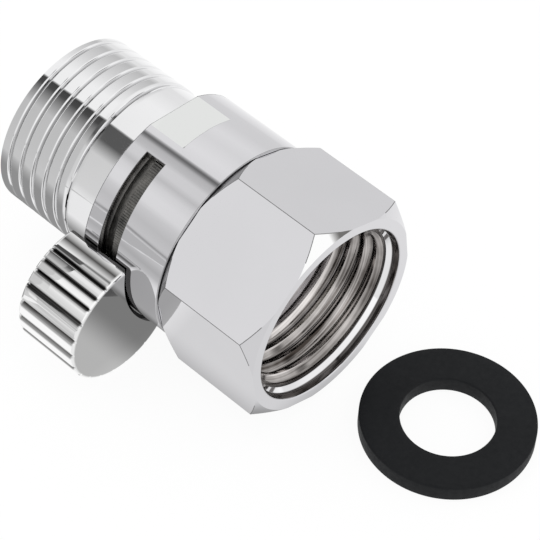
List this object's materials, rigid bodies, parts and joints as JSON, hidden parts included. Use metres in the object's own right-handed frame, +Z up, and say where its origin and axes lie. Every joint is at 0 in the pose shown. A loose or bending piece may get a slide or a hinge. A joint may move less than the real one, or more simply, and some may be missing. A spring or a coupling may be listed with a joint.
{
  "type": "shower head shut-off valve",
  "caption": "In-line shower shut-off valve with a hex inlet, a threaded outlet and a fluted knob on a quarter-turn lever, its rubber washer beside it.",
  "frame": {"origin": "on the surface that the valve lies on, below the middle of its bounding box", "axes": "+X along the flow axis from the outlet thread to the inlet's mouth, +Z up as the valve lies on a corner of its hex and on its knob"},
  "size_m": [0.062, 0.0362, 0.0269],
  "materials": {
    "chrome_body": "mirror chrome over brass",
    "chrome_hex": "mirror chrome over brass",
    "chrome_knob": "mirror chrome over brass",
    "steel_stem": "turned steel",
    "rotor_brass": "darkened brass, finely knurled band",
    "ceramic": "lapped ceramic",
    "seal_rubber": "smooth black rubber",
    "washer_rubber": "smooth matt black rubber",
    "slip_plastic": "white acetal"
  },
  "bodies": {
    "valve": {"valve_body": "chrome_body", "inlet_hex": "chrome_hex", "body_o_ring": "seal_rubber", "disc_seal": "seal_rubber", "fixed_disc": "ceramic", "slip_ring": "slip_plastic", "inlet_washer": "washer_rubber"},
    "lever": {"knob": "chrome_knob", "knob_stem": "steel_stem", "rotor": "rotor_brass", "moving_disc": "ceramic", "inlet_o_ring": "seal_rubber", "outlet_o_ring": "seal_rubber"}
  },
  "joints": [
    {"name": "lever_turn", "type": "hinge", "parent": "valve", "child": "lever", "pos_m": [-0.01268, 0.0022, 0.01347], "axis": [-1, 0, 0], "range_deg": [0, 85]}
  ]
}
